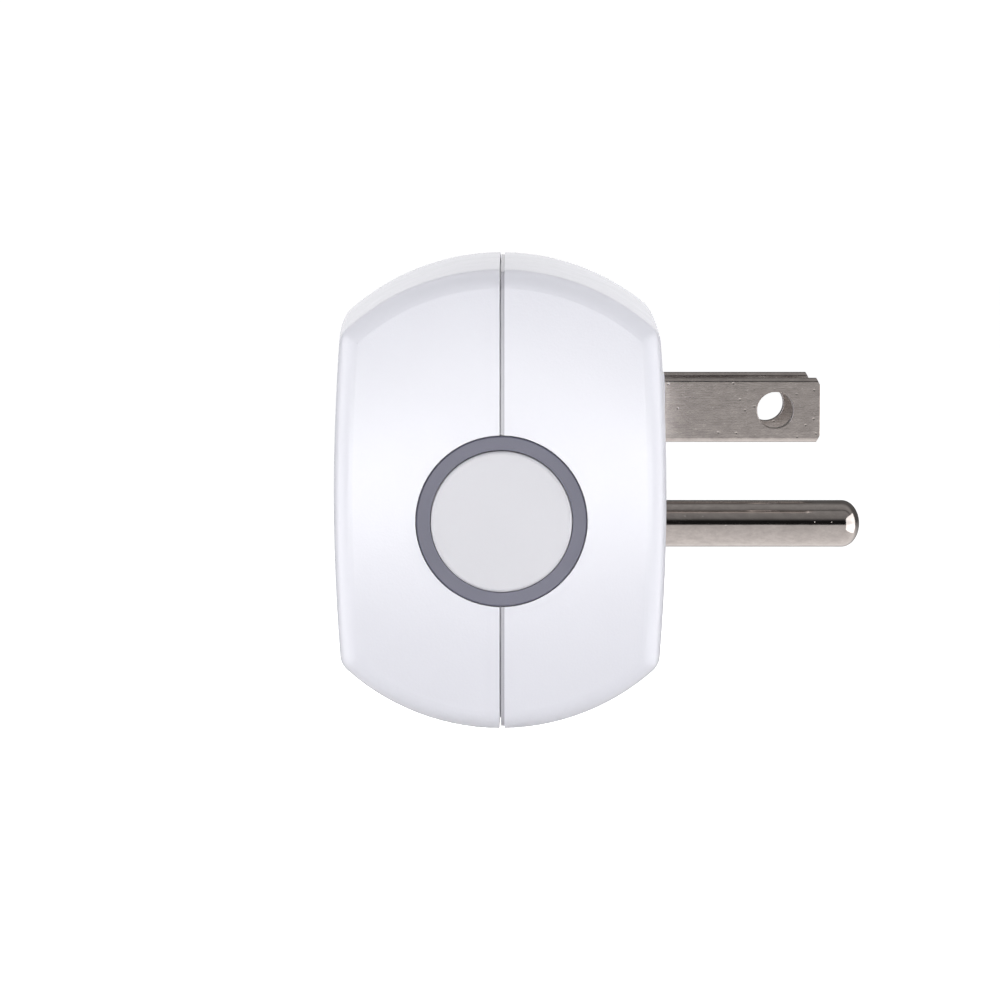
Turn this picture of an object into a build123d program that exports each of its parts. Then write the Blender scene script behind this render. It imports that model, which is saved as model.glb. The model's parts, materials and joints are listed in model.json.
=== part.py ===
from build123d import *
import os
from math import cos, radians, sin, sqrt

# Plug-in power meter with a switched outlet, millimetres.
# +X points into the wall, +Z is up, and -Y is the side with the round push button.
# The origin is the centre of the flat land that rests on the wall outlet.

# ---------------------------------------------------------------- driving dimensions

# Case: a crowned barrel on the Y axis, cut off front and back by gently curved faces.
CASE_X = -15.9          # axis of the barrel
HALF_DEPTH = 15.65      # from the barrel's axis to the front and back edges
BARREL_R = 23.05        # barrel radius at mid-width
CROWN_R = 225.0         # lengthwise curve of the barrel
FACE_R = 200.0          # upright curve of the front and back faces
FRONT_CROWN_R = 500.0   # sideways curve of the front face
SIDE_APEX = 27.2        # half the width, at the middle of the domed sides
SIDE_R = 190.0          # radius of the domed sides
SIDE_EDGE = 26.0        # half-width where the domed sides meet the barrel
SEAM_TURN = 180.0       # keeps the curved front face's own seam off the front
EDGE_FILLET = 2.0       # all the outer edges of the case
WALL = 2.0              # case wall
SEAM_X = -15.75         # parting plane
SEAM_GAP = 0.45         # width of the visible groove between the housings
SEAM_DEPTH = 0.22       # depth of that groove, down to the rear housing's shoulder
SEAM_SHADOW = 0.12      # deeper slit between the shoulder and the front housing's edge
TONGUE = 2.0            # length of the rear housing's tongue inside the front one
TONGUE_FIT = 0.05       # room on each side of the half-wall joint

# Wall land and outlet land
LAND_HALF_Y = 15.0
LAND_Z = (-11.0, 11.5)
OUTLET_X = -31.7        # plane of the outlet's flat face
OUTLET_LAND_R = 15.0
OUTLET_LAND_Z = 2.0

# Prongs and outlet, after the 15 A three-wire standard
PRONG_Y = 6.35          # half the spacing of the blades
BLADE_Z = 7.5
GROUND_Z = BLADE_Z - 11.9
BLADE_T = 1.5
BLADE_H = 6.35
BLADE_LEN = 16.65       # out of the wall land
BLADE_EDGE_R = 0.4      # rounding along the blade's long edges
BLADE_CORNER = 0.65     # cut corners beside the tip
BLADE_BEVEL = (0.95, 0.45)  # length and depth of the tip's bevels
BLADE_HOLE_R = 1.8
BLADE_HOLE_CHAMFER = 0.08
BLADE_HOLE_X = 11.3
BLADE_TAIL_X = -9.4
PIN_R = 2.375
PIN_LEN = 20.4
PIN_NOSE = 1.8          # length of the pin's rounded end
PIN_NECK_R = 2.2        # the holder is moulded around this part of the pin
PIN_HEAD_R = 2.9
PIN_RIVET_R = 1.5
SLOT_W = 2.0
LINE_SLOT_H = 7.2
NEUTRAL_SLOT_H = 8.8
GROUND_HOLE_R = 2.75

# Button and light ring, on the -Y side
BUTTON_X = -15.8
BUTTON_Z = -1.8
CAP_R = 6.62
RING_IN_R = 6.70
RING_OUT_R = 8.0
RING_HOLE_R = 8.08
RING_FLANGE_R = 9.6
CAP_FACE_Y = -27.55
RING_FACE_Y = -27.05
RING_FLANGE_Y = -24.75
RING_BACK_Y = -24.10
CAP_BACK_Y = -23.25
BUTTON_TRAVEL = 0.4
LED_RADIUS = 8.8
LED_H = 0.8
SWITCH_SIDE = 6.0       # the tactile switch's base
SWITCH_H = 2.6
SWITCH_COVER_T = 0.8
SWITCH_LEG_X = 3.15
SWITCH_WELL_R = 2.4

# Boards stand upright along the two sides
POWER_Y = (21.7, 23.3)
CONTROL_Y = (-18.9, -17.7)
POWER_BOARD_R = 19.3
POWER_BOARD_X = (-28.9, -4.2)
CONTROL_X = (-28.6, -4.6)
CONTROL_Z = (-11.6, 9.0)
SWITCH_FLOOR_Y = CONTROL_Y[0] - 1.0

# Outlet carrier and the block that grips the prongs
CARRIER_X = (-29.6, -13.4)
CARRIER_Z = (-9.2, 12.6)
CARRIER_HALF_Y = 11.4
CARRIER_FRONT = 1.5
RETAINER_T = 1.4
HOLDER_X = (-7.4, -2.95)
HOLDER_HALF_Y = 10.5
HOLDER_Z = (-8.4, 12.2)
STRAP_X = (-9.0, -8.2)  # plane of the input straps
OUTPUT_X = (-11.0, -10.2)
METAL_T = 0.8           # strap and contact thickness
LEAF_REAR_Y = 1.55      # inner face of a blade contact's leaf where it is joined
TAB_Y = LEAF_REAR_Y + METAL_T / 2
TAB_H = 3.0

# Housing screws, 2.6 mm self-tapping
SCREWS = ((17.5, 13.0), (-17.5, 13.0), (0.0, -13.5))
SCREW_R = 1.3
SCREW_HEAD_R = 2.25
SCREW_HEAD_X = (-9.0, -7.3)
SCREW_TIP_X = -21.0
FRONT_BOSS_R = 2.7
REAR_BOSS_R = 3.1

# Relay: slim, 20.5 x 7.2 x 15.3, its pins in the power board
RELAY_X = CASE_X
RELAY_Z = -13.1
RELAY_L = 20.5
RELAY_W = 7.2
RELAY_H = 15.3
RELAY_WALL = 0.5
CORE_A = 4.5            # core's place along the relay
HINGE_A = 8.2           # armature's hinge along the relay
HINGE_H = 13.0
CONTACT_A = -6.0        # contact's place along the relay
ARMATURE_T = 0.8
CONTACT_DROP = 1.0      # open contact gap


# ---------------------------------------------------------------- helpers

def block(x, y, z):
    """A box between two X, two Y and two Z values."""
    centre = Pos((x[0] + x[1]) / 2, (y[0] + y[1]) / 2, (z[0] + z[1]) / 2)
    return centre * Box(abs(x[1] - x[0]), abs(y[1] - y[0]), abs(z[1] - z[0]))


def soft_block(x, y, z, radius, axis=Axis.Y):
    """A box whose edges along one axis are rounded."""
    solid = block(x, y, z)
    return fillet(solid.edges().filter_by(axis), radius)


def rod_x(x, y, z, radius):
    return Pos((x[0] + x[1]) / 2, y, z) * Rot(0, 90, 0) * Cylinder(radius, abs(x[1] - x[0]))


def rod_y(y, x, z, radius):
    return Pos(x, (y[0] + y[1]) / 2, z) * Rot(90, 0, 0) * Cylinder(radius, abs(y[1] - y[0]))


def rod_z(z, x, y, radius):
    return Pos(x, y, (z[0] + z[1]) / 2) * Cylinder(radius, abs(z[1] - z[0]))


def span(centre, size):
    return (centre - size / 2, centre + size / 2)


def sagitta(radius, half_chord):
    return radius - sqrt(radius ** 2 - half_chord ** 2)


def arched_profile(flat_u, edge_u, mid_u, half):
    """A closed outline: straight at flat_u, and an arc through mid_u opposite it."""
    return make_face([
        Line((flat_u, -half), (edge_u, -half)),
        ThreePointArc((edge_u, -half), (mid_u, 0), (edge_u, half)),
        Line((edge_u, half), (flat_u, half)),
        Line((flat_u, half), (flat_u, -half)),
    ])


# ---------------------------------------------------------------- case

def barrel(inset):
    half = SIDE_APEX + 5
    mid = BARREL_R - inset
    edge = mid - sagitta(CROWN_R - inset, half)
    return Pos(CASE_X, 0, 0) * revolve(arched_profile(0, edge, mid, half), Axis.Y)


def behind_front_face(inset):
    half = BARREL_R + 7
    mid = CASE_X - HALF_DEPTH - sagitta(FRONT_CROWN_R, SIDE_EDGE) + inset
    edge = mid + sagitta(FACE_R - inset, half)
    centre = mid - inset + FRONT_CROWN_R
    profile = Plane.XZ * arched_profile(centre, edge, mid, half)
    turned = Rot(0, 0, SEAM_TURN) * Pos(-centre, 0, 0) * profile
    return Pos(centre, 0, 0) * revolve(turned, Axis.Z)


def before_back_face(inset):
    half = BARREL_R + 7
    mid = CASE_X + HALF_DEPTH - inset
    edge = mid - sagitta(FACE_R - inset, half)
    profile = Plane.XZ * arched_profile(CASE_X - 60, edge, mid, half)
    return extrude(profile, SIDE_APEX + 15, both=True)


def envelope(inset):
    """The case's outer shape, moved inwards by inset all over."""
    solid = barrel(inset) & before_back_face(inset) & behind_front_face(inset)
    for side in (-1, 1):
        solid = solid & (Pos(CASE_X, side * (SIDE_APEX - SIDE_R), 0) * Sphere(SIDE_R - inset))
    return solid


def slab(x0, x1):
    return block((x0, x1), (-40, 40), (-40, 40))


def rails(board_y, x, z):
    """Two ribs that hold a board's edge between them."""
    return (block(x, (board_y[0] - 1.3, board_y[0] - 0.05), z)
            + block(x, (board_y[1] + 0.05, board_y[1] + 1.3), z))


def collar(x, half_y, z, gap=0.15, thickness=1.2):
    """A rectangular wall around a block."""
    outer = half_y + gap + thickness
    inner = half_y + gap
    z_out = (z[0] - gap - thickness, z[1] + gap + thickness)
    z_in = (z[0] - gap, z[1] + gap)
    return block(x, (-outer, outer), z_out) - block(x, (-inner, inner), z_in)


def button_hole():
    return rod_y((-30, -23), BUTTON_X, BUTTON_Z, RING_HOLE_R)


def blade_slots(x, width, line_height, neutral_height):
    line = block(x, span(-PRONG_Y, width), span(BLADE_Z, line_height))
    return line + block(x, span(PRONG_Y, width), span(BLADE_Z, neutral_height))


def front_housing(outer, inner, middle):
    seam = SEAM_X - SEAM_GAP / 2
    features = collar((-32, -26.6), CARRIER_HALF_Y, CARRIER_Z)
    features += rails(POWER_Y, (-31, -28.1), (-2.0, 3.0))
    features += rails(CONTROL_Y, (-31, -27.8), (-8.0, -2.0))
    for y, z in SCREWS:
        features += rod_x((-32, seam), y, z, FRONT_BOSS_R)
    features = features & middle
    solid = (outer - inner) + features
    solid = solid & slab(-40, seam)
    recess = envelope(WALL / 2 - TONGUE_FIT) & slab(seam - TONGUE, seam + 1)
    solid -= recess - inner
    solid -= rod_x((-40, OUTLET_X), 0, OUTLET_LAND_Z, OUTLET_LAND_R)
    openings = blade_slots((-36, -27), SLOT_W, LINE_SLOT_H, NEUTRAL_SLOT_H)
    openings += rod_x((-36, -27), 0, GROUND_Z, GROUND_HOLE_R)
    solid -= openings
    for y, z in SCREWS:
        solid -= rod_x((SCREW_TIP_X - 1, 0), y, z, SCREW_R)
    return solid - button_hole()


def seam_shoulder(inner):
    """The floor of the groove, and the tongue that closes it from inside."""
    groove = (SEAM_X - SEAM_GAP / 2, SEAM_X + SEAM_GAP / 2)
    shoulder = envelope(SEAM_DEPTH)
    shoulder = fillet(shoulder.edges(), EDGE_FILLET - SEAM_DEPTH)
    shoulder = shoulder & slab(groove[0] + SEAM_SHADOW, groove[1] + 0.5)
    tongue = envelope(WALL / 2 + TONGUE_FIT) & slab(groove[0] - TONGUE + TONGUE_FIT, groove[1])
    return (shoulder + tongue) - inner


def rear_housing(outer, inner, middle):
    seam = SEAM_X + SEAM_GAP / 2
    features = collar((-5.6, 0), HOLDER_HALF_Y, HOLDER_Z)
    features += rails(POWER_Y, (-5.1, 0), (4.2, 9.5))
    features += rails(CONTROL_Y, (-5.6, 0), (-8.0, -2.0))
    for y, z in SCREWS:
        features += rod_x((seam, 0), y, z, REAR_BOSS_R)
    features = features & middle
    solid = ((outer - inner) + features) & slab(seam, 5)
    solid += seam_shoulder(inner)
    solid += soft_block((-1.5, 0), (-LAND_HALF_Y, LAND_HALF_Y), LAND_Z, 3.0, Axis.X)
    solid -= blade_slots((-8, 2), BLADE_T + 0.1, BLADE_H + 0.1, BLADE_H + 0.1)
    solid -= rod_x((-8, 2), 0, GROUND_Z, PIN_R + 0.05)
    for y, z in SCREWS:
        solid -= rod_x((seam - 1, 0), y, z, SCREW_R + 0.15)
        solid -= rod_x((SCREW_HEAD_X[0], 2), y, z, SCREW_HEAD_R + 0.15)
    return solid - button_hole()


def housing_screws():
    screws = []
    for y, z in SCREWS:
        head = rod_x(SCREW_HEAD_X, y, z, SCREW_HEAD_R)
        head = fillet(head.edges().group_by(Axis.X)[-1], 0.6)
        screw = head + rod_x((SCREW_TIP_X, SCREW_HEAD_X[0]), y, z, SCREW_R)
        cross = block((SCREW_HEAD_X[1] - 0.9, 0), span(y, 2.4), span(z, 0.55))
        cross += block((SCREW_HEAD_X[1] - 0.9, 0), span(y, 0.55), span(z, 2.4))
        screws.append(screw - cross)
    return Compound(screws)


# ---------------------------------------------------------------- button

def button_axis(y, radius):
    return rod_y(y, BUTTON_X, BUTTON_Z, radius)


def led_places():
    """Four light pipes and the diodes under them, around the button."""
    angles = [radians(45 + 90 * index) for index in range(4)]
    return [(BUTTON_X + LED_RADIUS * cos(angle), BUTTON_Z + LED_RADIUS * sin(angle))
            for angle in angles]


def button_cap():
    face = button_axis((CAP_FACE_Y, -24.5), CAP_R)
    face = fillet(face.edges().group_by(Axis.Y)[0], 0.3)
    solid = face + button_axis((RING_BACK_Y + 0.03, CAP_BACK_Y), CAP_R + 0.9)
    solid += button_axis((-24.6, CAP_BACK_Y), CAP_R)
    solid -= button_axis((-25.9, CAP_BACK_Y + 1), CAP_R - 1.0)
    return solid + button_axis((-26.0, CAP_BACK_Y), 1.6)


def light_ring():
    lip = button_axis((RING_FACE_Y, RING_BACK_Y), RING_OUT_R)
    lip = chamfer(lip.edges().group_by(Axis.Y)[0], 0.12)
    solid = lip + button_axis((RING_FLANGE_Y, RING_BACK_Y), RING_FLANGE_R)
    for x, z in led_places():
        solid += rod_y((RING_BACK_Y - 0.2, CONTROL_Y[0] - LED_H - 0.15), x, z, 0.75)
    return solid - button_axis((-28, -20), RING_IN_R)


def switch_base():
    y = (CONTROL_Y[0] - SWITCH_H, CONTROL_Y[0])
    solid = block(span(BUTTON_X, SWITCH_SIDE), y, span(BUTTON_Z, SWITCH_SIDE))
    return solid - button_axis((y[0] - 1, SWITCH_FLOOR_Y), SWITCH_WELL_R)


def switch_legs(width, z_width, y):
    """The two straps of the switch's cover, which run down its sides."""
    legs = [block(span(BUTTON_X + side * SWITCH_LEG_X, width), y, span(BUTTON_Z, z_width))
            for side in (-1, 1)]
    return legs[0] + legs[1]


def switch_frame():
    top = CONTROL_Y[0] - SWITCH_H - SWITCH_COVER_T
    plate = block(span(BUTTON_X, 6.5), (top, top + SWITCH_COVER_T), span(BUTTON_Z, SWITCH_SIDE))
    plate += switch_legs(0.25, 1.0, (top, CONTROL_Y[1] + 1.0))
    return plate - button_axis((top - 1, CONTROL_Y[0]), 1.85)


def switch_plunger():
    foot = SWITCH_FLOOR_Y - BUTTON_TRAVEL - 0.2
    stem = button_axis((CAP_BACK_Y + 0.02, foot), 1.75)
    return stem + button_axis((foot - 0.9, foot), SWITCH_WELL_R - 0.15)


def leds():
    lamps = []
    for x, z in led_places():
        y = (CONTROL_Y[0] - LED_H, CONTROL_Y[0])
        base = block(span(x, 2.0), (y[1] - 0.3, y[1]), span(z, 1.25))
        lamps.append(base + block(span(x, 1.3), y, span(z, 1.25)))
    return Compound(lamps)


# ---------------------------------------------------------------- prongs

def blade_outline():
    """The blade from its side: cut corners and a bowed tip."""
    half = BLADE_H / 2
    shoulder = (BLADE_LEN - BLADE_BEVEL[0], half - BLADE_CORNER)
    start = BLADE_LEN - BLADE_BEVEL[0] - BLADE_CORNER / 2
    return make_face([
        Line((BLADE_TAIL_X, -half), (start, -half)),
        Line((start, -half), (shoulder[0], -shoulder[1])),
        ThreePointArc((shoulder[0], -shoulder[1]), (BLADE_LEN, 0), shoulder),
        Line(shoulder, (start, half)),
        Line((start, half), (BLADE_TAIL_X, half)),
        Line((BLADE_TAIL_X, half), (BLADE_TAIL_X, -half)),
    ])


def blade_plan():
    """The blade from above: both faces are bevelled towards the tip."""
    half = BLADE_T / 2
    tip = half - BLADE_BEVEL[1]
    flat_end = BLADE_LEN - BLADE_BEVEL[0]
    return make_face(Polyline((BLADE_TAIL_X, -half), (flat_end, -half), (BLADE_LEN, -tip),
                              (BLADE_LEN, tip), (flat_end, half), (BLADE_TAIL_X, half), close=True))


def blade(side):
    bar = block((BLADE_TAIL_X, BLADE_LEN), span(0, BLADE_T), span(0, BLADE_H))
    bar = fillet(bar.edges().filter_by(Axis.X), BLADE_EDGE_R)
    bar = bar & extrude(Plane.XZ * blade_outline(), BLADE_T, both=True)
    bar = bar & extrude(Plane.XY * blade_plan(), BLADE_H, both=True)
    hole = rod_y((-BLADE_T, BLADE_T), BLADE_HOLE_X, 0, BLADE_HOLE_R)
    bar = bar - hole
    circles = bar.edges().filter_by(GeomType.CIRCLE)
    rims = [edge for edge in circles if abs(edge.radius - BLADE_HOLE_R) < 0.001]
    bar = chamfer(rims, BLADE_HOLE_CHAMFER)
    return Pos(0, side * PRONG_Y, BLADE_Z) * bar


def ground_pin():
    """A round pin with an elliptical nose, a moulded-in neck and head, and a rivet tail."""
    nose = PIN_LEN - PIN_NOSE
    tail = STRAP_X[0] - 0.5
    head = HOLDER_X[0] - 1.0
    corners = [(nose, PIN_R), (0, PIN_R), (0, PIN_NECK_R), (HOLDER_X[0], PIN_NECK_R),
               (HOLDER_X[0], PIN_HEAD_R), (head, PIN_HEAD_R), (head, PIN_RIVET_R),
               (tail, PIN_RIVET_R), (tail, 0), (PIN_LEN, 0)]
    sides = [Line(first, second) for first, second in zip(corners, corners[1:])]
    sides.append(EllipticalCenterArc((nose, 0), PIN_NOSE, PIN_R, start_angle=0, arc_size=90))
    return Pos(0, 0, GROUND_Z) * revolve(make_face(sides), Axis.X)


def prong_holder():
    solid = soft_block(HOLDER_X, (-HOLDER_HALF_Y, HOLDER_HALF_Y), HOLDER_Z, 1.0, Axis.X)
    solid -= blade_slots((-9, 0), BLADE_T, BLADE_H, BLADE_H)
    solid -= rod_x((-9, 0), 0, GROUND_Z, PIN_NECK_R)
    for side in (-1, 1):
        solid -= block((-5.2, 0), span(side * PRONG_Y, 4.5), (-8.0, 1.5))
    return solid


# ---------------------------------------------------------------- outlet

def contact_carrier():
    cavity_x = (CARRIER_X[0] + CARRIER_FRONT, CARRIER_X[1] + 1)
    solid = soft_block(CARRIER_X, (-CARRIER_HALF_Y, CARRIER_HALF_Y), CARRIER_Z, 1.0, Axis.X)
    for side in (-1, 1):
        solid -= block(cavity_x, span(side * (PRONG_Y + 0.2), 6.0), (2.6, 12.0))
        solid -= block(cavity_x, span(side * 8.0, 4.2), (-8.0, 0.8))
    solid -= rod_x(cavity_x, 0, GROUND_Z, 4.2)
    solid -= block(cavity_x, (-1.6, 1.6), (GROUND_Z, 1.4))
    solid -= blade_slots((-31, -27), SLOT_W, LINE_SLOT_H, NEUTRAL_SLOT_H)
    return solid - rod_x((-31, -27), 0, GROUND_Z, GROUND_HOLE_R)


def tab_slots(x, gap):
    """Openings for the tails of the three outlet contacts."""
    tabs = [block(x, span(side * (PRONG_Y + TAB_Y), METAL_T + gap), span(BLADE_Z, TAB_H + gap))
            for side in (-1, 1)]
    return tabs[0] + tabs[1] + block(x, span(0, 2.4 + gap), span(GROUND_Z + 3.4, METAL_T + gap))


def contact_retainer():
    x = (CARRIER_X[1], CARRIER_X[1] + RETAINER_T)
    solid = soft_block(x, (-CARRIER_HALF_Y, CARRIER_HALF_Y), CARRIER_Z, 1.0, Axis.X)
    solid -= rod_x((-15, -10), 0, GROUND_Z, GROUND_HOLE_R)
    return solid - tab_slots((-15, -10), 0.2)


def leaf(side, z, with_tab):
    """One leaf of a blade contact, seen from above: flared mouth, grip, and tail."""
    t = METAL_T
    end = STRAP_X[1] + 0.3 if with_tab else -15.0
    inner = [(-27.6, 1.8), (-25.2, 0.6), (-17.5, 0.9), (-16.0, LEAF_REAR_Y), (end, LEAF_REAR_Y)]
    outer = [(x, y + t) for x, y in reversed(inner)]
    points = [(x, side * y) for x, y in inner + outer]
    return extrude(Plane.XY.offset(z[0]) * make_face(Polyline(*points, close=True)), z[1] - z[0])


def blade_contact(side):
    """Two leaves joined over the top, with a tail on the leaf away from the middle."""
    leaf_z = (4.1, 11.0)
    bridge_z = (leaf_z[1], leaf_z[1] + METAL_T)
    half = LEAF_REAR_Y + METAL_T
    solid = leaf(side, leaf_z, False) + leaf(-side, leaf_z, False)
    solid += leaf(side, span(BLADE_Z, TAB_H), True)
    solid += block((-19.0, -15.0), (-1.7, 1.7), bridge_z)
    solid += block((-16.0, -15.0), (-half, half), bridge_z)
    if side < 0:
        end = STRAP_X[1] + 1.0
        solid -= block((OUTPUT_X[1] + 0.3, end), (-9, 9), (0, 14))
    return Pos(0, side * PRONG_Y, 0) * solid


def ground_contact():
    """A split sleeve with a flared mouth and a tail along its top."""
    t = 0.7
    profile = make_face(Polyline((-27.6, 3.1), (-25.4, 2.2), (-16.0, 2.4), (-14.6, 2.4),
                                 (-14.6, 2.4 + t), (-16.0, 2.4 + t), (-25.4, 2.2 + t),
                                 (-27.6, 3.1 + t), close=True))
    sleeve = revolve(profile, Axis.X)
    sleeve -= block((-30, -10), (-0.8, 0.8), (-5, 0))
    tail_z = span(3.4, METAL_T)
    sleeve += block((-16.4, STRAP_X[1] + 0.3), (-1.2, 1.2), tail_z)
    sleeve += block((-16.4, -14.6), (-0.8, 0.8), (2.6, 3.4))
    return Pos(0, 0, GROUND_Z) * sleeve


# ---------------------------------------------------------------- straps

def line_input_strap():
    """Line blade to the power board, over the top of the neutral strap."""
    solid = block(STRAP_X, (-8.6, -4.1), (3.4, 14.6))
    solid += block(STRAP_X, (-8.6, 12.6), (12.6, 14.6))
    solid += block(STRAP_X, (10.8, 12.6), (7.2, 14.6))
    solid += block(STRAP_X, (10.8, POWER_Y[1] + 0.6), (7.2, 9.2))
    return solid - block((-10, -7), span(-PRONG_Y, BLADE_T), span(BLADE_Z, BLADE_H))


def neutral_strap():
    """Neutral blade to the neutral contact and the power board."""
    solid = block(STRAP_X, (4.1, 9.9), (3.4, 11.6))
    solid += block(STRAP_X, (9.0, POWER_Y[1] + 0.6), (3.9, 6.1))
    solid -= block((-10, -7), span(PRONG_Y, BLADE_T), span(BLADE_Z, BLADE_H))
    return solid - block((-10, -7), span(PRONG_Y + TAB_Y, METAL_T), span(BLADE_Z, TAB_H))


def ground_strap():
    """Ground pin to the ground contact."""
    x = (STRAP_X[0] - 0.2, STRAP_X[1] - 0.2)
    solid = block(x, (-3.4, 3.4), (GROUND_Z - 3.4, GROUND_Z + 4.6))
    solid -= rod_x((-10, -8), 0, GROUND_Z, PIN_RIVET_R)
    return solid - block((-10, -8), (-1.2, 1.2), span(GROUND_Z + 3.4, METAL_T))


def line_output_strap():
    """Power board to the line contact, below the ground pin's path."""
    solid = block(OUTPUT_X, (-9.8, -6.6), (-9.0, 10.0))
    solid += block(OUTPUT_X, (-9.8, POWER_Y[1] + 0.6), (-9.0, -7.4))
    return solid - block((-12, -9), span(-PRONG_Y - TAB_Y, METAL_T), span(BLADE_Z, TAB_H))


# ---------------------------------------------------------------- relay

def relay_box(a, w, h):
    """A box in the relay's own terms: along it, across it, and up from the board."""
    x = (RELAY_X + a[0], RELAY_X + a[1])
    z = (RELAY_Z + w[0], RELAY_Z + w[1])
    return block(x, (POWER_Y[0] - h[1], POWER_Y[0] - h[0]), z)


def relay_rod(h, a, w, radius):
    return rod_y((POWER_Y[0] - h[1], POWER_Y[0] - h[0]), RELAY_X + a, RELAY_Z + w, radius)


FIXED_LEG = ((-8.6, -8.0), (-1.0, 1.0))
YOKE_LEG = ((HINGE_A - 0.6, HINGE_A + 0.2), (-0.7, 0.7))
COIL_PINS = ((3.0, -2.6), (3.0, 2.6))
PIN_END = -2.3


def relay_base():
    half_l = RELAY_L / 2 - RELAY_WALL - 0.05
    half_w = RELAY_W / 2 - RELAY_WALL - 0.05
    solid = relay_box((-half_l, half_l), (-half_w, half_w), (0.2, 1.6))
    solid -= relay_box(*FIXED_LEG, (0, 3))
    solid -= relay_box(*YOKE_LEG, (0, 3))
    for a, w in COIL_PINS:
        solid -= relay_rod((0, 3), a, w, 0.3)
    return solid


def relay_cover():
    half_l = RELAY_L / 2
    half_w = RELAY_W / 2
    solid = relay_box((-half_l, half_l), (-half_w, half_w), (0, RELAY_H))
    solid = fillet(solid.edges().group_by(Axis.Y)[0], 0.4)
    half_l -= RELAY_WALL
    half_w -= RELAY_WALL
    return solid - relay_box((-half_l, half_l), (-half_w, half_w), (-1, RELAY_H - RELAY_WALL))


def relay_yoke():
    upright = (HINGE_A - 0.4, HINGE_A + 0.4)
    solid = relay_box((1.6, upright[1]), (-2.0, 2.0), (1.7, 2.5))
    solid += relay_box(upright, (-2.6, 2.6), (1.7, HINGE_H - 0.05))
    return solid + relay_box(*YOKE_LEG, (PIN_END, 1.75))


def relay_core():
    return (relay_rod((2.5, 12.3), CORE_A, 0, 1.2)
            + relay_rod((12.2, HINGE_H - 0.42), CORE_A, 0, 2.2))


def relay_bobbin():
    half = 2.95
    solid = relay_rod((2.55, 12.15), CORE_A, 0, 1.75)
    for h in ((2.55, 3.3), (11.4, 12.15)):
        solid += relay_box((CORE_A - half, CORE_A + half), (-half, half), h)
    return solid - relay_rod((2, 13), CORE_A, 0, 1.25)


def relay_coil():
    return relay_rod((3.32, 11.38), CORE_A, 0, 2.75) - relay_rod((3, 12), CORE_A, 0, 1.78)


def relay_coil_pins():
    return Compound([relay_rod((PIN_END, 2.55), a, w, 0.3) for a, w in COIL_PINS])


def relay_armature():
    return relay_box((1.6, HINGE_A + 0.7), (-2.6, 2.6), (HINGE_H, HINGE_H + ARMATURE_T))


def relay_contact_spring():
    top = HINGE_H + ARMATURE_T
    solid = relay_box((CONTACT_A - 1.6, 7.4), (-1.8, 1.8), (top, top + 0.25))
    solid += relay_rod((HINGE_H - 0.1, top), CONTACT_A, 0, 1.3)
    return solid + relay_rod((top, top + 0.45), 4.5, 0, 0.6)


def relay_fixed_contact():
    top = HINGE_H - 0.1 - CONTACT_DROP
    solid = relay_rod((top - 0.7, top), CONTACT_A, 0, 1.3)
    solid += relay_box((FIXED_LEG[0][0], CONTACT_A + 1.4), (-1.4, 1.4), (top - 1.3, top - 0.7))
    return solid + relay_box(*FIXED_LEG, (PIN_END, top - 0.8))


# ---------------------------------------------------------------- power board

LEG_R = 0.35
LEG_END = POWER_Y[1] + 0.7
FILM_X = (-28.0, -15.4)
FILM_LEGS = ((-26.7, 7.4), (-16.7, 7.4))
CAP_PLACES = ((-24.3, 0.9), (-17.4, 0.9))
CAP_BODY_R = 3.15
VARISTOR_X = (-13.6, -10.6)
VARISTOR_LEGS = ((-12.9, 3.5), (-11.3, 8.5))
SHUNT_LEGS = (-24.8, -12.9)
SHUNT_Z = -5.2
FUSE_LEGS = ((-27.3, -6.0), (-27.3, -4.0))
RESISTOR_X = -11.2
RESISTOR_LEGS = ((-11.2, -4.0), (-11.2, 1.8))


def leg(place):
    return rod_y((POWER_Y[0] - 1.2, LEG_END), place[0], place[1], LEG_R)


def power_board():
    disc = rod_y(POWER_Y, CASE_X, 0, POWER_BOARD_R)
    solid = disc & block(POWER_BOARD_X, (20, 25), (-30, 30))
    y = (POWER_Y[0] - 1, POWER_Y[1] + 1)
    for place in FILM_LEGS + VARISTOR_LEGS + FUSE_LEGS + RESISTOR_LEGS:
        solid -= rod_y(y, place[0], place[1], LEG_R + 0.05)
    for x, z in CAP_PLACES:
        for side in (-1, 1):
            solid -= rod_y(y, x + side * 1.25, z, LEG_R + 0.05)
    for x in SHUNT_LEGS:
        solid -= block(span(x, 0.9), y, span(SHUNT_Z, 2.7))
    solid -= block((STRAP_X[0] - 0.05, STRAP_X[1] + 0.05), y, (7.15, 9.25))
    solid -= block((STRAP_X[0] - 0.05, STRAP_X[1] + 0.05), y, (3.85, 6.15))
    solid -= block((OUTPUT_X[0] - 0.05, OUTPUT_X[1] + 0.05), y, (-9.05, -7.35))
    for a, w in (FIXED_LEG, YOKE_LEG):
        solid -= relay_box((a[0] - 0.05, a[1] + 0.05), (w[0] - 0.05, w[1] + 0.05), (-3, 1))
    for a, w in COIL_PINS:
        solid -= relay_rod((-3, 1), a, w, 0.4)
    return solid


def film_capacitor():
    body = soft_block(FILM_X, (POWER_Y[0] - 8.2, POWER_Y[0] - 0.05), (4.9, 9.9), 0.6)
    return body + leg(FILM_LEGS[0]) + leg(FILM_LEGS[1])


def electrolytic_capacitors():
    cans = []
    for x, z in CAP_PLACES:
        can = rod_y((POWER_Y[0] - 8.0, POWER_Y[0] - 0.05), x, z, CAP_BODY_R)
        can = fillet(can.edges(), 0.4)
        y = POWER_Y[0] - 1.6
        can -= rod_y((y - 0.25, y + 0.25), x, z, 4) - rod_y((y - 1, y + 1), x, z, CAP_BODY_R - 0.3)
        for side in (-1, 1):
            can += leg((x + side * 1.25, z))
        cans.append(can)
    return Compound(cans)


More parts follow.
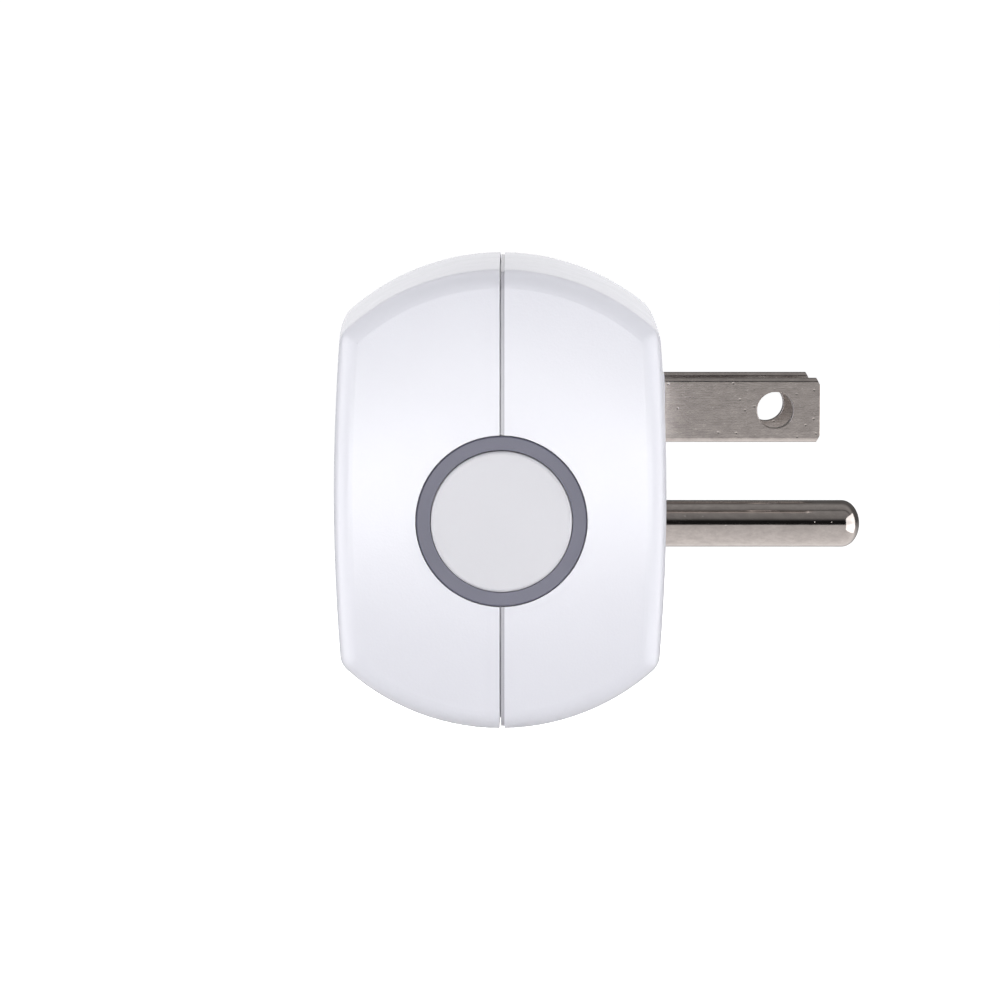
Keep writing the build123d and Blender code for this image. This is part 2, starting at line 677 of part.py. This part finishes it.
def varistor():
    disc = rod_x(VARISTOR_X, POWER_Y[0] - 4.2, 6.0, 3.75)
    disc = fillet(disc.edges(), 0.9)
    for place in VARISTOR_LEGS:
        disc += rod_y((POWER_Y[0] - 4.2, LEG_END), place[0], place[1], LEG_R)
    return disc


def current_shunt():
    """A bowed strip between two legs through the board."""
    z = span(SHUNT_Z, 2.6)
    x = (SHUNT_LEGS[0] - 0.4, SHUNT_LEGS[1] + 0.4)
    solid = block(x, (POWER_Y[0] - 4.0, POWER_Y[0] - 3.2), z)
    for centre in SHUNT_LEGS:
        solid += block(span(centre, METAL_T), (POWER_Y[0] - 4.0, LEG_END), z)
    for offset in (-2.4, 2.4):
        middle = (SHUNT_LEGS[0] + SHUNT_LEGS[1]) / 2 + offset
        solid -= block(span(middle, 0.8), (POWER_Y[0] - 5, POWER_Y[0] - 3), (SHUNT_Z, SHUNT_Z + 2))
    return solid


def fusible_resistor():
    body = rod_z((-3.2, 1.0), RESISTOR_X, POWER_Y[0] - 1.6, 1.15)
    body = fillet(body.edges(), 0.4)
    body += rod_z((-4.0, 1.8), RESISTOR_X, POWER_Y[0] - 1.6, LEG_R)
    for place in RESISTOR_LEGS:
        body += rod_y((POWER_Y[0] - 1.6, LEG_END), place[0], place[1], LEG_R)
    return body


def thermal_fuse():
    body = soft_block((-28.3, -26.3), (POWER_Y[0] - 6.0, POWER_Y[0] - 1.0), (-7.0, -3.0), 0.4)
    return body + leg(FUSE_LEGS[0]) + leg(FUSE_LEGS[1])


def chip(x, z, length, width, height, pins, board_y, side):
    """A moulded package with gull-wing leads along both long edges."""
    body_y = (board_y + side * 0.1, board_y + side * height)
    solid = block(span(x, length), body_y, span(z, width))
    pitch = length / pins
    for index in range(pins):
        px = x - length / 2 + pitch * (index + 0.5)
        for edge in (-1, 1):
            foot = z + edge * (width / 2 + 0.45)
            foot_y = (board_y, board_y + side * 0.15)
            solid += block(span(px, pitch * 0.4), foot_y, span(foot, 0.9))
            knee = z + edge * (width / 2 + 0.1)
            knee_y = (board_y, board_y + side * height / 2)
            solid += block(span(px, pitch * 0.4), knee_y, span(knee, 0.2))
    return solid


def bridge_rectifier():
    return chip(-6.9, 1.0, 3.6, 3.4, 2.2, 2, POWER_Y[0], -1)


def metering_chip():
    return chip(-20.5, 12.9, 5.0, 3.6, 0.95, 8, POWER_Y[0], -1)


def supply_chip():
    return chip(-11.0, 12.9, 4.0, 3.0, 0.95, 4, POWER_Y[0], -1)


def power_inductor():
    drum = rod_y((POWER_Y[0] - 4.0, POWER_Y[0]), -7.1, -4.4, 2.1)
    groove = rod_y((POWER_Y[0] - 3.3, POWER_Y[0] - 0.9), -7.1, -4.4, 3)
    groove -= rod_y((POWER_Y[0] - 5, POWER_Y[0]), -7.1, -4.4, 1.75)
    return drum - groove


def board_chips():
    """Small surface-mounted resistors and capacitors on both boards."""
    parts = []
    for x, z in ((-26.5, 12.0), (-24.8, 12.0), (-16.6, 12.0), (-7.4, 12.0), (-5.9, 9.9)):
        parts.append(block(span(x, 0.9), (POWER_Y[0] - 0.6, POWER_Y[0]), span(z, 1.6)))
    for x, z in ((-10.5, 3.0), (-8.6, 3.0), (-10.5, -1.0), (-8.6, -1.0), (-10.5, -5.0)):
        parts.append(block(span(x, 0.9), (CONTROL_Y[1], CONTROL_Y[1] + 0.6), span(z, 1.6)))
    return Compound(parts)


# ---------------------------------------------------------------- control board

RIBBON_X = (-20.0, -13.0)
HEADER_X = (-20.6, -12.4)
CONTROL_HEADER_Y = (CONTROL_Y[1], -15.9)
CONTROL_HEADER_Z = (5.6, 8.2)
POWER_HEADER_Y = (19.5, POWER_Y[0])
POWER_HEADER_Z = (16.1, 18.2)
RIBBON_TURN_Y = -13.8
RIBBON_TOP_Z = 17.2
RIBBON_T = 0.36


def control_board():
    solid = soft_block(CONTROL_X, CONTROL_Y, CONTROL_Z, 1.0)
    return solid - switch_legs(0.35, 1.1, (CONTROL_Y[0] - 1, CONTROL_Y[1] + 1))


def radio_board():
    y = (CONTROL_Y[1], CONTROL_Y[1] + 0.8)
    return soft_block((-27.6, -20.0), y, (-10.4, 3.6), 0.4)


def radio_shield():
    y = (CONTROL_Y[1] + 0.8, CONTROL_Y[1] + 2.8)
    x = (-27.0, -20.6)
    z = (-9.8, -0.6)
    inside = block((x[0] + 0.2, x[1] - 0.2), (y[0] - 1, y[1] - 0.2), (z[0] + 0.2, z[1] - 0.2))
    return soft_block(x, y, z, 0.5) - inside


def ribbon_headers():
    control = block(HEADER_X, CONTROL_HEADER_Y, CONTROL_HEADER_Z)
    power = block(HEADER_X, POWER_HEADER_Y, POWER_HEADER_Z)
    return Compound([control, power])


def board_ribbon():
    """A flat cable from the control board, over the outlet carrier, to the power board."""
    start_z = (CONTROL_HEADER_Z[0] + CONTROL_HEADER_Z[1]) / 2
    start_y = CONTROL_HEADER_Y[1] + RIBBON_T / 2
    end_y = POWER_HEADER_Y[0] - RIBBON_T / 2
    path = FilletPolyline((start_y, start_z), (RIBBON_TURN_Y, start_z),
                          (RIBBON_TURN_Y, RIBBON_TOP_Z), (end_y, RIBBON_TOP_Z), radius=1.0)
    strip = make_face(path.offset_2d(RIBBON_T / 2, side=Side.BOTH))
    plane = Plane(origin=(RIBBON_X[0], 0, 0), x_dir=(0, 1, 0), z_dir=(1, 0, 0))
    return extrude(plane * strip, RIBBON_X[1] - RIBBON_X[0])


# ---------------------------------------------------------------- write the parts

def build_all():
    outer = envelope(0)
    outer = fillet(outer.edges(), EDGE_FILLET)
    inner = envelope(WALL)
    middle = envelope(WALL / 2)
    return {
        "front_housing": front_housing(outer, inner, middle),
        "rear_housing": rear_housing(outer, inner, middle),
        "housing_screws": housing_screws(),
        "button_cap": button_cap(),
        "light_ring": light_ring(),
        "line_blade": blade(-1),
        "neutral_blade": blade(1),
        "ground_pin": ground_pin(),
        "prong_holder": prong_holder(),
        "contact_carrier": contact_carrier(),
        "contact_retainer": contact_retainer(),
        "line_contact": blade_contact(-1),
        "neutral_contact": blade_contact(1),
        "ground_contact": ground_contact(),
        "line_input_strap": line_input_strap(),
        "line_output_strap": line_output_strap(),
        "neutral_strap": neutral_strap(),
        "ground_strap": ground_strap(),
        "power_board": power_board(),
        "control_board": control_board(),
        "ribbon_headers": ribbon_headers(),
        "board_ribbon": board_ribbon(),
        "relay_base": relay_base(),
        "relay_cover": relay_cover(),
        "relay_yoke": relay_yoke(),
        "relay_core": relay_core(),
        "relay_bobbin": relay_bobbin(),
        "relay_coil": relay_coil(),
        "relay_coil_pins": relay_coil_pins(),
        "relay_armature": relay_armature(),
        "relay_contact_spring": relay_contact_spring(),
        "relay_fixed_contact": relay_fixed_contact(),
        "current_shunt": current_shunt(),
        "film_capacitor": film_capacitor(),
        "electrolytic_capacitors": electrolytic_capacitors(),
        "varistor": varistor(),
        "fusible_resistor": fusible_resistor(),
        "thermal_fuse": thermal_fuse(),
        "bridge_rectifier": bridge_rectifier(),
        "power_inductor": power_inductor(),
        "metering_chip": metering_chip(),
        "supply_chip": supply_chip(),
        "board_chips": board_chips(),
        "radio_board": radio_board(),
        "radio_shield": radio_shield(),
        "switch_base": switch_base(),
        "switch_frame": switch_frame(),
        "switch_plunger": switch_plunger(),
        "leds": leds(),
    }


os.makedirs("parts", exist_ok=True)
for name, solid in build_all().items():
    export_step(solid, f"parts/{name}.step")
    print(name, len(solid.solids()), round(solid.volume, 2))
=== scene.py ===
import json
import math

import bpy
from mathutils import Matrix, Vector


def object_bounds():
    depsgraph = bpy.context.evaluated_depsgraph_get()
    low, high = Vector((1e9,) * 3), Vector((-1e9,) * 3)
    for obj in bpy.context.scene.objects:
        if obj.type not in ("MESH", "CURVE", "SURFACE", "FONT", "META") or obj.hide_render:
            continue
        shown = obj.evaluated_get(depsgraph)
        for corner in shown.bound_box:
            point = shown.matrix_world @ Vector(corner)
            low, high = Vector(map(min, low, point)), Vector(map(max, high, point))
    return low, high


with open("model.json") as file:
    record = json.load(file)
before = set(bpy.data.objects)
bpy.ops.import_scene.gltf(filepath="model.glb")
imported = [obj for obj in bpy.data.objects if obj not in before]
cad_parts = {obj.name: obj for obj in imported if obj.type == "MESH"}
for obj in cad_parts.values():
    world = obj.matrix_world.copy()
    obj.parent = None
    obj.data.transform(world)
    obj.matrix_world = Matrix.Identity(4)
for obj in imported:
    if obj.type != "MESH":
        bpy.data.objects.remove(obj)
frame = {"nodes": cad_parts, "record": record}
CAD_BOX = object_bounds()

MM = 0.001

# ---------------------------------------------------------------- camera and light

LENS_MM = 124.2
SENSOR_MM = 36.0
CAMERA_DISTANCE = 0.350
CAMERA_ELEVATION = math.radians(4.76)
CAMERA_AZIMUTH = math.radians(-0.20)
AIM_X = -16.03 * MM
AIM_Z = -2.03 * MM
PART_CENTRE = Vector((AIM_X, 0, 0))
NEAR_CLIP, FAR_CLIP = 0.01, 20.0


def make_camera():
    """A long lens, a little above the button's side."""
    forward = Vector((math.sin(CAMERA_AZIMUTH) * math.cos(CAMERA_ELEVATION),
                      math.cos(CAMERA_AZIMUTH) * math.cos(CAMERA_ELEVATION),
                      -math.sin(CAMERA_ELEVATION)))
    data = bpy.data.cameras.new("camera")
    data.lens = LENS_MM
    data.sensor_width = SENSOR_MM
    data.clip_start, data.clip_end = NEAR_CLIP, FAR_CLIP
    camera = bpy.data.objects.new("camera", data)
    camera.location = Vector((AIM_X, 0, AIM_Z)) - forward * CAMERA_DISTANCE
    camera.rotation_euler = forward.to_track_quat("-Z", "Y").to_euler()
    bpy.context.collection.objects.link(camera)
    bpy.context.scene.camera = camera


def area_light(name, place, size, radiance, glossy=True, diffuse=True, lights_only=()):
    """A rectangular light on the part. lights_only names the nodes it falls on, () means all."""
    data = bpy.data.lights.new(name, "AREA")
    data.shape = "RECTANGLE"
    data.size, data.size_y = size
    data.energy = radiance * math.pi * size[0] * size[1]
    light = bpy.data.objects.new(name, data)
    light.location = place
    light.rotation_euler = (PART_CENTRE - place).to_track_quat("-Z", "Y").to_euler()
    light.visible_glossy = glossy
    light.visible_diffuse = diffuse
    bpy.context.collection.objects.link(light)
    if lights_only:
        receivers = bpy.data.collections.new(name + "_receivers")
        for node in lights_only:
            receivers.objects.link(frame["nodes"][node])
        light.light_linking.receiver_collection = receivers


def toward(azimuth, elevation, distance):
    """A place around the part: azimuth from the button's side, in degrees."""
    a, e = math.radians(azimuth), math.radians(elevation)
    return Vector((AIM_X + distance * math.sin(a) * math.cos(e),
                   -distance * math.cos(a) * math.cos(e), distance * math.sin(e)))


PLASTIC = ("front_housing", "rear_housing", "button_cap", "light_ring")

# Lights on the part's middle plane: name, azimuth and elevation in degrees, distance and size
# in metres, radiance, and how the light behaves.
MIDDLE_LIGHTS = (
    ("front_panel", 0, -1.2, 1.0, (0.34, 0.345), 6.7, {"lights_only": PLASTIC}),
    ("top_box", 180, 55, 0.9, (0.9, 0.6), 3.9, {"glossy": False}),
    ("low_bounce", 0, -55, 1.0, (1.0, 0.6), 0.25, {"glossy": False}),
    ("back_panel", 180, 10, 1.2, (1.4, 0.6), 0.75, {"diffuse": False, "lights_only": PLASTIC}),
)

# The same for the lights that stand once on the left and once on the right.
SIDE_LIGHTS = (
    ("box", 14.5, -2.5, 1.0, (0.25, 0.14), 10.1, {"lights_only": PLASTIC}),
    ("flank", 27, -2.5, 1.0, (0.26, 0.20), 6.4, {"lights_only": PLASTIC}),
    ("window", 68, 0, 1.0, (1.6, 1.2), 2.0, {"diffuse": False}),
    ("wall", 84, 2, 1.0, (0.7, 0.6), 4.2, {"glossy": False}),
    ("rim", 145, 20, 1.1, (0.6, 0.6), 1.3, {"glossy": False}),
)


def make_lights():
    """A low panel by the camera with a brighter box on each side, and the studio's own lights."""
    rows = list(MIDDLE_LIGHTS)
    for side, sign in (("left", -1), ("right", 1)):
        rows += [(side + "_" + name, sign * azimuth, *rest)
                 for name, azimuth, *rest in SIDE_LIGHTS]
    for name, azimuth, elevation, distance, size, radiance, options in rows:
        area_light(name, toward(azimuth, elevation, distance), size, radiance, **options)


def ramp(nodes, stops):
    """A colour ramp through (position, colour) stops."""
    node = nodes.new("ShaderNodeValToRGB")
    while len(node.color_ramp.elements) < len(stops):
        node.color_ramp.elements.new(0.5)
    for element, (position, colour) in zip(node.color_ramp.elements, stops):
        element.position = position
        element.color = (*colour, 1)
    return node


# What a reflection meets round the X axis: degrees up from the button's side, and brightness.
STUDIO_BANDS = ((-180, 0.10), (-150, 0.60), (-130, 1.0), (-70, 0.84), (-40, 0.74), (-12, 0.66),
                (-3.8, 0.64), (-1.2, 0.06), (1, 0.012), (18, 0.012), (25, 0.12), (30, 0.22),
                (62, 0.30), (69, 0.26), (73, 0.08), (78, 0.26), (103, 0.34), (125, 0.13),
                (180, 0.10))
STUDIO_TINT = (1.0, 0.975, 0.965)
STUDIO_STRENGTH = 1.3
SOFT_COLOUR, SOFT_STRENGTH = (0.96, 0.97, 1.0), 0.20
BACKDROP_STRENGTH = 1.05


def background(nodes, strength, colour=(1, 1, 1)):
    """One shade of the world."""
    node = nodes.new("ShaderNodeBackground")
    node.inputs["Color"].default_value = (*colour, 1)
    node.inputs["Strength"].default_value = strength
    return node


def make_world():
    """White to look at, even for light, and banded panels and gaps for reflections."""
    world = bpy.data.worlds.new("studio")
    world.use_nodes = True
    nodes, links = world.node_tree.nodes, world.node_tree.links
    nodes.clear()
    coords = nodes.new("ShaderNodeTexCoord")
    split = nodes.new("ShaderNodeSeparateXYZ")
    links.new(coords.outputs["Generated"], split.inputs[0])
    towards_button = nodes.new("ShaderNodeMath")
    towards_button.operation = "MULTIPLY"
    towards_button.inputs[1].default_value = -1.0
    links.new(split.outputs["Y"], towards_button.inputs[0])
    turn = nodes.new("ShaderNodeMath")
    turn.operation = "ARCTAN2"
    links.new(split.outputs["Z"], turn.inputs[0])
    links.new(towards_button.outputs[0], turn.inputs[1])
    share = nodes.new("ShaderNodeMapRange")
    share.inputs["From Min"].default_value = -math.pi
    share.inputs["From Max"].default_value = math.pi
    links.new(turn.outputs[0], share.inputs["Value"])
    bands = ramp(nodes, [((degrees + 180) / 360, tuple(value * part for part in STUDIO_TINT))
                         for degrees, value in STUDIO_BANDS])
    links.new(share.outputs[0], bands.inputs["Fac"])
    studio = background(nodes, STUDIO_STRENGTH)
    links.new(bands.outputs["Color"], studio.inputs["Color"])
    soft = background(nodes, SOFT_STRENGTH, SOFT_COLOUR)
    white = background(nodes, BACKDROP_STRENGTH)
    path = nodes.new("ShaderNodeLightPath")
    glossy = nodes.new("ShaderNodeMixShader")
    links.new(path.outputs["Is Glossy Ray"], glossy.inputs["Fac"])
    links.new(soft.outputs[0], glossy.inputs[1])
    links.new(studio.outputs[0], glossy.inputs[2])
    seen = nodes.new("ShaderNodeMixShader")
    links.new(path.outputs["Is Camera Ray"], seen.inputs["Fac"])
    links.new(glossy.outputs[0], seen.inputs[1])
    links.new(white.outputs[0], seen.inputs[2])
    out = nodes.new("ShaderNodeOutputWorld")
    links.new(seen.outputs[0], out.inputs["Surface"])
    bpy.context.scene.world = world


FLOOR_DROP = 0.10
FLOOR_HALF = 12.0
FLOOR_COLOUR = (0.93, 0.93, 0.94)
FLOOR_ROUGHNESS = 0.9
FLOOR_GLOW = 0.85


def make_floor():
    """A wide pale floor, well under the part. Only the camera sees it."""
    level = CAD_BOX[0][2] - FLOOR_DROP
    corners = ((-1, -1), (1, -1), (1, 1), (-1, 1))
    mesh = bpy.data.meshes.new("floor")
    mesh.from_pydata([(x * FLOOR_HALF, y * FLOOR_HALF, level) for x, y in corners],
                     [], [(0, 1, 2, 3)])
    floor = bpy.data.objects.new("floor", mesh)
    bpy.context.collection.objects.link(floor)
    material = bpy.data.materials.new("floor_white")
    material.use_nodes = True
    shader = material.node_tree.nodes["Principled BSDF"]
    shader.inputs["Base Color"].default_value = (*FLOOR_COLOUR, 1)
    shader.inputs["Roughness"].default_value = FLOOR_ROUGHNESS
    shader.inputs["Emission Color"].default_value = (1, 1, 1, 1)
    shader.inputs["Emission Strength"].default_value = FLOOR_GLOW
    mesh.materials.append(material)
    floor.visible_diffuse = False
    floor.visible_glossy = False


# ---------------------------------------------------------------- materials

METAL = 1.0


class Surface:
    """A node material on one Principled shader, in object coordinates, in metres."""

    def __init__(self, name, colour, roughness, metallic=0.0):
        self.material = bpy.data.materials.new(name)
        self.material.use_nodes = True
        self.nodes = self.material.node_tree.nodes
        self.links = self.material.node_tree.links
        self.shader = self.nodes["Principled BSDF"]
        self.shader.inputs["Base Color"].default_value = (*colour, 1)
        self.shader.inputs["Roughness"].default_value = roughness
        self.shader.inputs["Metallic"].default_value = metallic
        self.coords = self.nodes.new("ShaderNodeTexCoord").outputs["Object"]
        self.height = None

    def noise(self, scale, detail=3.0, stretch=(1, 1, 1), roughness=0.5):
        """Noise with features about 1/scale metres across."""
        mapping = self.nodes.new("ShaderNodeMapping")
        mapping.inputs["Scale"].default_value = tuple(scale * part for part in stretch)
        self.links.new(self.coords, mapping.inputs["Vector"])
        node = self.nodes.new("ShaderNodeTexNoise")
        node.inputs["Scale"].default_value = 1.0
        node.inputs["Detail"].default_value = detail
        node.inputs["Roughness"].default_value = roughness
        self.links.new(mapping.outputs[0], node.inputs["Vector"])
        return node.outputs["Fac"]

    def tint(self, factor, stops):
        """Colour from a 0 to 1 factor through a ramp."""
        node = ramp(self.nodes, stops)
        self.links.new(factor, node.inputs["Fac"])
        self.links.new(node.outputs["Color"], self.shader.inputs["Base Color"])

    def gloss(self, factor, low, high):
        """Roughness from a 0 to 1 factor."""
        node = self.nodes.new("ShaderNodeMapRange")
        node.inputs["To Min"].default_value = low
        node.inputs["To Max"].default_value = high
        self.links.new(factor, node.inputs["Value"])
        self.links.new(node.outputs[0], self.shader.inputs["Roughness"])

    def bump(self, factor, depth, strength=1.0):
        """Adds a bump of a height in metres on top of the ones before it."""
        node = self.nodes.new("ShaderNodeBump")
        node.inputs["Distance"].default_value = depth
        node.inputs["Strength"].default_value = strength
        self.links.new(factor, node.inputs["Height"])
        if self.height is not None:
            self.links.new(self.height, node.inputs["Normal"])
        self.height = node.outputs[0]
        self.links.new(self.height, self.shader.inputs["Normal"])


def around(colour, spread):
    """A darker and a lighter stop about one colour."""
    low = tuple(max(part * (1 - spread), 0) for part in colour)
    high = tuple(min(part * (1 + spread), 1) for part in colour)
    return [(0.3, low), (0.7, high)]


def moulded(name, colour, roughness, grain=0.00002, spread=0.012):
    """Moulded plastic: fine spark texture, faint flow marks and uneven gloss."""
    surface = Surface(name, colour, roughness)
    surface.tint(surface.noise(90, 4), around(colour, spread))
    surface.gloss(surface.noise(350, 3), roughness - 0.05, roughness + 0.06)
    surface.bump(surface.noise(140, 2), 0.00004, 0.25)
    surface.bump(surface.noise(5200, 2), grain, 0.5)
    return surface


CASE_COLOUR = (0.785, 0.785, 0.845)
# Painted shade: a greyer white on the floor of the groove between the case's halves.
GROOVE_PAINTED_SHADE = (0.50, 0.49, 0.53)
GROOVE_MIDDLE = -15.70 * MM
GROOVE_HALF = 0.17 * MM


def white_case(name):
    """The case's glossy white."""
    surface = moulded(name, CASE_COLOUR, 0.22)
    surface.shader.inputs["Specular IOR Level"].default_value = 0.45
    return surface


def painted_groove_shade_case():
    """The case's white, with painted shade on the floor of the groove between the halves."""
    surface = white_case("white_case_painted_groove_shade")
    split = surface.nodes.new("ShaderNodeSeparateXYZ")
    surface.links.new(surface.coords, split.inputs[0])
    # Mask of the groove's floor, which gets the painted shade colour.
    floor = surface.nodes.new("ShaderNodeMath")
    floor.operation = "COMPARE"
    floor.inputs[1].default_value = GROOVE_MIDDLE
    floor.inputs[2].default_value = GROOVE_HALF
    surface.links.new(split.outputs["X"], floor.inputs[0])
    shaded = surface.nodes.new("ShaderNodeMixRGB")
    shaded.inputs[2].default_value = (*GROOVE_PAINTED_SHADE, 1)
    surface.links.new(floor.outputs[0], shaded.inputs["Fac"])
    base = surface.shader.inputs["Base Color"]
    surface.links.new(base.links[0].from_socket, shaded.inputs[1])
    surface.links.new(shaded.outputs[0], base)
    return surface.material


def ring_guide():
    """The ring's smoked plastic."""
    surface = moulded("ring_guide", (0.155, 0.155, 0.205), 0.35, spread=0.06)
    surface.shader.inputs["Specular IOR Level"].default_value = 0.25
    return surface.material


NICKEL_DULL = (0.50, 0.46, 0.44)
NICKEL_BRIGHT = (0.68, 0.63, 0.60)


def nickel(name, shine, rough, grain, marks):
    """Nickel plate over brass: fine drag lines along X, mottling and small pits."""
    dull = tuple(shine * part for part in NICKEL_DULL)
    bright = tuple(shine * part for part in NICKEL_BRIGHT)
    surface = Surface(name, bright, sum(rough) / 2, METAL)
    surface.tint(surface.noise(1500, 6, (0.6, 1, 1), 0.65), [(0.25, dull), (0.75, bright)])
    surface.gloss(surface.noise(5200, 4, (0.2, 1, 1)), *rough)
    surface.bump(surface.noise(9000, 3, (0.04, 1, 1)), 0.000004, grain)
    surface.bump(surface.noise(6000, 5, (0.7, 1, 1)), 0.000006, grain)
    pits = surface.nodes.new("ShaderNodeTexVoronoi")
    pits.inputs["Scale"].default_value = 900.0
    surface.links.new(surface.coords, pits.inputs["Vector"])
    depth = surface.nodes.new("ShaderNodeMapRange")
    depth.inputs["From Max"].default_value = marks
    surface.links.new(pits.outputs["Distance"], depth.inputs["Value"])
    surface.bump(depth.outputs[0], 0.00004, 0.6)
    return surface.material


def metal(name, colour, roughness, lines=(0.1, 1, 1)):
    """Rolled or stamped metal with drag lines and tarnish."""
    surface = Surface(name, colour, roughness, METAL)
    surface.tint(surface.noise(700, 4), around(colour, 0.12))
    surface.gloss(surface.noise(3000, 3, lines), roughness - 0.08, roughness + 0.12)
    surface.bump(surface.noise(8000, 2, lines), 0.000005, 0.5)
    return surface.material


def circuit_board():
    """Solder mask with the relief of the tracks under it."""
    surface = Surface("circuit_board", (0.03, 0.16, 0.08), 0.30)
    cells = surface.nodes.new("ShaderNodeTexVoronoi")
    cells.distance = "MANHATTAN"
    cells.inputs["Scale"].default_value = 700.0
    surface.links.new(surface.coords, cells.inputs["Vector"])
    surface.tint(cells.outputs["Distance"],
                 [(0.35, (0.03, 0.17, 0.085)), (0.5, (0.055, 0.26, 0.13))])
    surface.bump(cells.outputs["Distance"], 0.00003, 0.5)
    surface.gloss(surface.noise(900), 0.22, 0.4)
    return surface.material


def waves(surface, direction, scale):
    """Parallel ridges across one axis, as a wave texture."""
    wave = surface.nodes.new("ShaderNodeTexWave")
    wave.bands_direction = direction
    wave.inputs["Scale"].default_value = scale
    surface.links.new(surface.coords, wave.inputs["Vector"])
    return wave


def wound_copper():
    """Enamelled wire: round turns side by side along the coil's axis."""
    surface = Surface("coil_copper", (0.60, 0.22, 0.10), 0.28, METAL)
    wave = waves(surface, "Y", 1300.0)
    wave.inputs["Distortion"].default_value = 0.4
    surface.tint(wave.outputs["Fac"], [(0.0, (0.28, 0.09, 0.04)), (0.8, (0.66, 0.26, 0.12))])
    surface.bump(wave.outputs["Fac"], 0.00008, 0.9)
    return surface.material


def flat_ribbon():
    """Flat cable: parallel cores along its length."""
    surface = Surface("grey_ribbon", (0.42, 0.43, 0.45), 0.45)
    wave = waves(surface, "X", 250.0)
    surface.tint(wave.outputs["Fac"], [(0.0, (0.30, 0.31, 0.33)), (0.6, (0.50, 0.51, 0.53))])
    surface.bump(wave.outputs["Fac"], 0.00015, 0.8)
    return surface.material


def dipped(name, colour):
    """Glossy dipped lacquer with an orange-peel skin."""
    surface = Surface(name, colour, 0.22)
    surface.tint(surface.noise(400), around(colour, 0.1))
    surface.bump(surface.noise(1500, 2), 0.00004, 0.4)
    surface.gloss(surface.noise(800), 0.15, 0.32)
    return surface.material


def make_materials():
    """One material for each slot of the record."""
    return {
        "white_case": white_case("white_case").material,
        "white_button": moulded("white_button", (0.645, 0.64, 0.68), 0.36).material,
        "ring_guide": ring_guide(),
        "nickel_prong": nickel("nickel_prong", shine=0.96, rough=(0.16, 0.32), grain=0.7,
                               marks=0.12),
        "zinc_screw": metal("zinc_screw", (0.52, 0.53, 0.55), 0.3),
        "carrier_plastic": moulded("carrier_plastic", (0.60, 0.58, 0.52), 0.5).material,
        "contact_brass": metal("contact_brass", (0.72, 0.52, 0.22), 0.28),
        "circuit_board": circuit_board(),
        "black_plastic": moulded("black_plastic", (0.025, 0.025, 0.027), 0.45).material,
        "grey_ribbon": flat_ribbon(),
        "relay_shell": moulded("relay_shell", (0.03, 0.055, 0.14), 0.38).material,
        "relay_iron": metal("relay_iron", (0.45, 0.45, 0.46), 0.35),
        "bobbin_plastic": moulded("bobbin_plastic", (0.62, 0.58, 0.46), 0.5).material,
        "coil_copper": wound_copper(),
        "tinned_steel": metal("tinned_steel", (0.60, 0.60, 0.60), 0.3),
        "spring_copper": metal("spring_copper", (0.70, 0.36, 0.20), 0.25, (0.05, 1, 1)),
        "shunt_metal": metal("shunt_metal", (0.48, 0.36, 0.27), 0.35, (0.05, 1, 1)),
        "film_cap_case": moulded("film_cap_case", (0.60, 0.42, 0.06), 0.35).material,
        "can_sleeve": dipped("can_sleeve", (0.03, 0.04, 0.07)),
        "varistor_coat": dipped("varistor_coat", (0.05, 0.12, 0.40)),
        "resistor_coat": dipped("resistor_coat", (0.16, 0.30, 0.28)),
        "fuse_case": moulded("fuse_case", (0.07, 0.07, 0.07), 0.45).material,
        "chip_mould": moulded("chip_mould", (0.03, 0.03, 0.033), 0.55).material,
        "ferrite": moulded("ferrite", (0.06, 0.06, 0.062), 0.6, grain=0.00005).material,
        "chip_ceramic": moulded("chip_ceramic", (0.30, 0.22, 0.14), 0.5).material,
        "plunger_plastic": moulded("plunger_plastic", (0.25, 0.035, 0.03), 0.4).material,
        "led_body": moulded("led_body", (0.80, 0.76, 0.48), 0.3).material,
    }


def dress_nodes(materials):
    """Gives every CAD node the material of its slot, and two nodes a version of their own."""
    own = {
        # The rear housing's white carries painted shade in the groove between the halves.
        "rear_housing": painted_groove_shade_case(),
        "ground_pin": nickel("nickel_pin", shine=0.77, rough=(0.05, 0.14), grain=0.25, marks=0.07),
    }
    for row in frame["record"]["subparts"]:
        node = row["node"]
        mesh = frame["nodes"][node].data
        mesh.materials.clear()
        mesh.materials.append(own.get(node, materials[row["material_slot"]]))


bpy.context.scene.view_settings.view_transform = "Standard"
make_camera()
make_world()
make_lights()
make_floor()
dress_nodes(make_materials())
